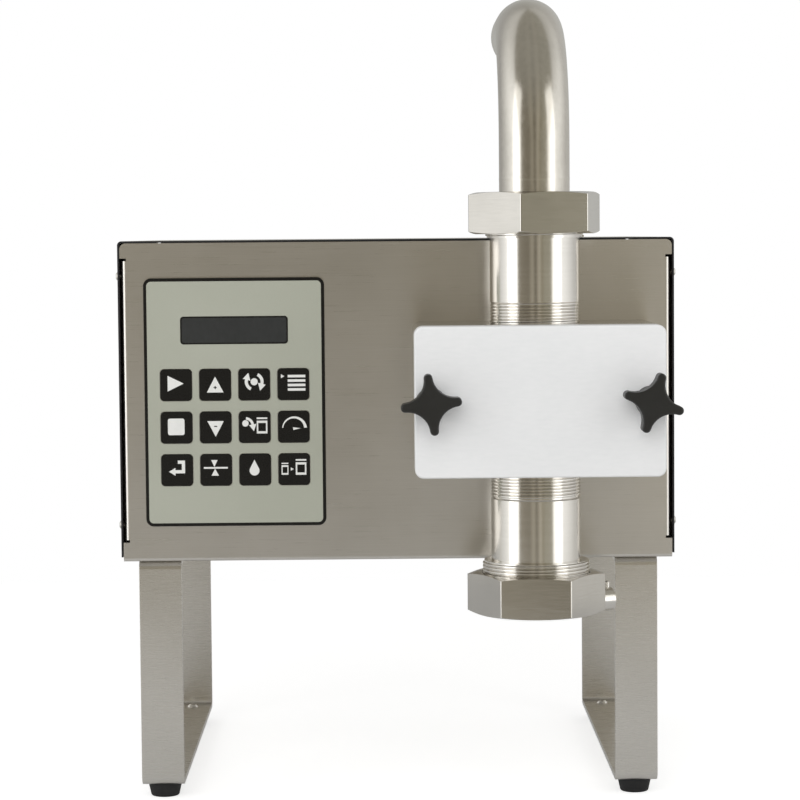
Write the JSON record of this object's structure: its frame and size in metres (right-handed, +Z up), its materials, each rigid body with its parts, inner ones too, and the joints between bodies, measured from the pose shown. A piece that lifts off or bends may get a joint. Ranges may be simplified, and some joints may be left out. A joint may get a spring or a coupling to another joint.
{
  "type": "honey filling machine",
  "caption": "Bench filling machine: brushed steel case on strap legs, keypad with display, and a front gear pump with threaded tubes, hexagon union nuts and a bent inlet pipe.",
  "frame": {"origin": "on the floor under the middle of the machine's bounding box", "axes": "+Z up, -Y towards the user, +X to the user's right, where the pump is"},
  "size_m": [0.3294, 0.387, 0.47],
  "materials": {
    "case_steel": "horizontally brushed stainless sheet",
    "strap_steel": "satin stainless strap",
    "pump_steel": "ground stainless block",
    "turned_steel": "turned stainless",
    "screw_steel": "plain stainless fasteners",
    "white_plastic": "machined white acetal",
    "white_gasket": "white gasket",
    "black_plastic": "moulded black plastic",
    "black_rubber": "black rubber",
    "seal_rubber": "brown sealing rubber",
    "keypad_black": "black film",
    "overlay_film": "grey-green printed film",
    "key_film": "black printed film",
    "window": "smoked clear plastic",
    "board": "solder mask",
    "brass": "turned brass",
    "supply": "closed supply unit, mostly air and board",
    "gearbox_metal": "die cast",
    "motor_paint": "black paint",
    "bracket_steel": "plain sheet"
  },
  "bodies": {
    "frame": {"chassis_tray": "case_steel", "top_cover": "case_steel", "left_leg": "strap_steel", "right_leg": "strap_steel", "pump_body": "pump_steel", "inlet_tube": "turned_steel", "outlet_tube": "turned_steel", "nozzle_ring": "turned_steel", "cover_studs": "turned_steel", "cover_screws": "screw_steel", "leg_screws": "screw_steel", "foot_screws": "screw_steel", "pump_bolts": "screw_steel", "motor_screws": "screw_steel", "inlet_gasket": "white_gasket", "outlet_gasket": "white_gasket", "mains_inlet": "black_plastic", "switch_frame": "black_plastic", "cover_seal": "black_rubber", "rubber_feet": "black_rubber", "cover_ring": "black_rubber", "shaft_seal": "seal_rubber", "keypad_backing": "keypad_black", "keypad_overlay": "overlay_film", "display_window": "window", "control_board": "board", "display_module": "board", "shaft_bushes": "brass", "board_spacers": "brass", "power_supply": "supply", "gearbox": "gearbox_metal", "pedal_socket": "gearbox_metal", "motor": "motor_paint", "motor_bracket": "bracket_steel"},
    "pump_cover": {"pump_cover": "white_plastic"},
    "left_knob": {"left_knob": "black_plastic"},
    "right_knob": {"right_knob": "black_plastic"},
    "drive_train": {"drive_gear": "white_plastic", "drive_shaft": "turned_steel", "shaft_coupling": "gearbox_metal", "gearbox_shaft": "turned_steel"},
    "idler": {"idler_gear": "white_plastic", "idler_shaft": "turned_steel"},
    "inlet_nut": {"inlet_nut": "turned_steel"},
    "inlet_pipe": {"inlet_pipe": "turned_steel"},
    "outlet_nut": {"outlet_nut": "turned_steel"},
    "clamp_screw": {"clamp_screw": "turned_steel"},
    "power_switch": {"power_switch": "black_plastic"},
    "start_key": {"start_key": "key_film"},
    "up_key": {"up_key": "key_film"},
    "reverse_key": {"reverse_key": "key_film"},
    "menu_key": {"menu_key": "key_film"},
    "stop_key": {"stop_key": "key_film"},
    "down_key": {"down_key": "key_film"},
    "fill_key": {"fill_key": "key_film"},
    "speed_key": {"speed_key": "key_film"},
    "enter_key": {"enter_key": "key_film"},
    "calibrate_key": {"calibrate_key": "key_film"},
    "drip_key": {"drip_key": "key_film"},
    "batch_key": {"batch_key": "key_film"}
  },
  "joints": [
    {"name": "pump_cover_slide", "type": "slide", "parent": "frame", "child": "pump_cover", "axis": [0, -1, 0], "range_m": [0, 0.06]},
    {"name": "left_knob_turn", "type": "hinge", "parent": "pump_cover", "child": "left_knob", "pos_m": [0.0181, -0.1725, 0.2401], "axis": [0, -1, 0], "continuous": true},
    {"name": "right_knob_turn", "type": "hinge", "parent": "pump_cover", "child": "right_knob", "pos_m": [0.1391, -0.1725, 0.2401], "axis": [0, -1, 0], "continuous": true},
    {"name": "drive_spin", "type": "hinge", "parent": "frame", "child": "drive_train", "pos_m": [0.05745, -0.0825, 0.2401], "axis": [0, 1, 0], "continuous": true},
    {"name": "idler_spin", "type": "hinge", "parent": "frame", "child": "idler", "pos_m": [0.09975, -0.0825, 0.2401], "axis": [0, 1, 0], "continuous": true},
    {"name": "inlet_nut_turn", "type": "hinge", "parent": "frame", "child": "inlet_nut", "pos_m": [0.0786, -0.1225, 0.2401], "axis": [0, 0, 1], "continuous": true},
    {"name": "inlet_pipe_swivel", "type": "hinge", "parent": "frame", "child": "inlet_pipe", "pos_m": [0.0786, -0.1225, 0.2401], "axis": [0, 0, 1], "continuous": true},
    {"name": "outlet_nut_turn", "type": "hinge", "parent": "frame", "child": "outlet_nut", "pos_m": [0.0786, -0.1225, 0.2401], "axis": [0, 0, 1], "continuous": true},
    {"name": "clamp_screw_turn", "type": "hinge", "parent": "outlet_nut", "child": "clamp_screw", "pos_m": [0.0786, -0.1225, 0.1207], "axis": [0.8949, 0.4462, 0], "continuous": true},
    {"name": "power_switch_rock", "type": "hinge", "parent": "frame", "child": "power_switch", "pos_m": [-0.076, 0.1875, 0.1945], "axis": [1, 0, 0], "range_deg": [0, 16]},
    {"name": "start_key_press", "type": "slide", "parent": "frame", "child": "start_key", "axis": [0, 1, 0], "range_m": [0, 0.0005], "stiffness_N_per_m": 1500},
    {"name": "up_key_press", "type": "slide", "parent": "frame", "child": "up_key", "axis": [0, 1, 0], "range_m": [0, 0.0005], "stiffness_N_per_m": 1500},
    {"name": "reverse_key_press", "type": "slide", "parent": "frame", "child": "reverse_key", "axis": [0, 1, 0], "range_m": [0, 0.0005], "stiffness_N_per_m": 1500},
    {"name": "menu_key_press", "type": "slide", "parent": "frame", "child": "menu_key", "axis": [0, 1, 0], "range_m": [0, 0.0005], "stiffness_N_per_m": 1500},
    {"name": "stop_key_press", "type": "slide", "parent": "frame", "child": "stop_key", "axis": [0, 1, 0], "range_m": [0, 0.0005], "stiffness_N_per_m": 1500},
    {"name": "down_key_press", "type": "slide", "parent": "frame", "child": "down_key", "axis": [0, 1, 0], "range_m": [0, 0.0005], "stiffness_N_per_m": 1500},
    {"name": "fill_key_press", "type": "slide", "parent": "frame", "child": "fill_key", "axis": [0, 1, 0], "range_m": [0, 0.0005], "stiffness_N_per_m": 1500},
    {"name": "speed_key_press", "type": "slide", "parent": "frame", "child": "speed_key", "axis": [0, 1, 0], "range_m": [0, 0.0005], "stiffness_N_per_m": 1500},
    {"name": "enter_key_press", "type": "slide", "parent": "frame", "child": "enter_key", "axis": [0, 1, 0], "range_m": [0, 0.0005], "stiffness_N_per_m": 1500},
    {"name": "calibrate_key_press", "type": "slide", "parent": "frame", "child": "calibrate_key", "axis": [0, 1, 0], "range_m": [0, 0.0005], "stiffness_N_per_m": 1500},
    {"name": "drip_key_press", "type": "slide", "parent": "frame", "child": "drip_key", "axis": [0, 1, 0], "range_m": [0, 0.0005], "stiffness_N_per_m": 1500},
    {"name": "batch_key_press", "type": "slide", "parent": "frame", "child": "batch_key", "axis": [0, 1, 0], "range_m": [0, 0.0005], "stiffness_N_per_m": 1500}
  ],
  "couplings": [
    {"joint": "idler_spin", "follows": "drive_spin", "ratio": -1}
  ]
}
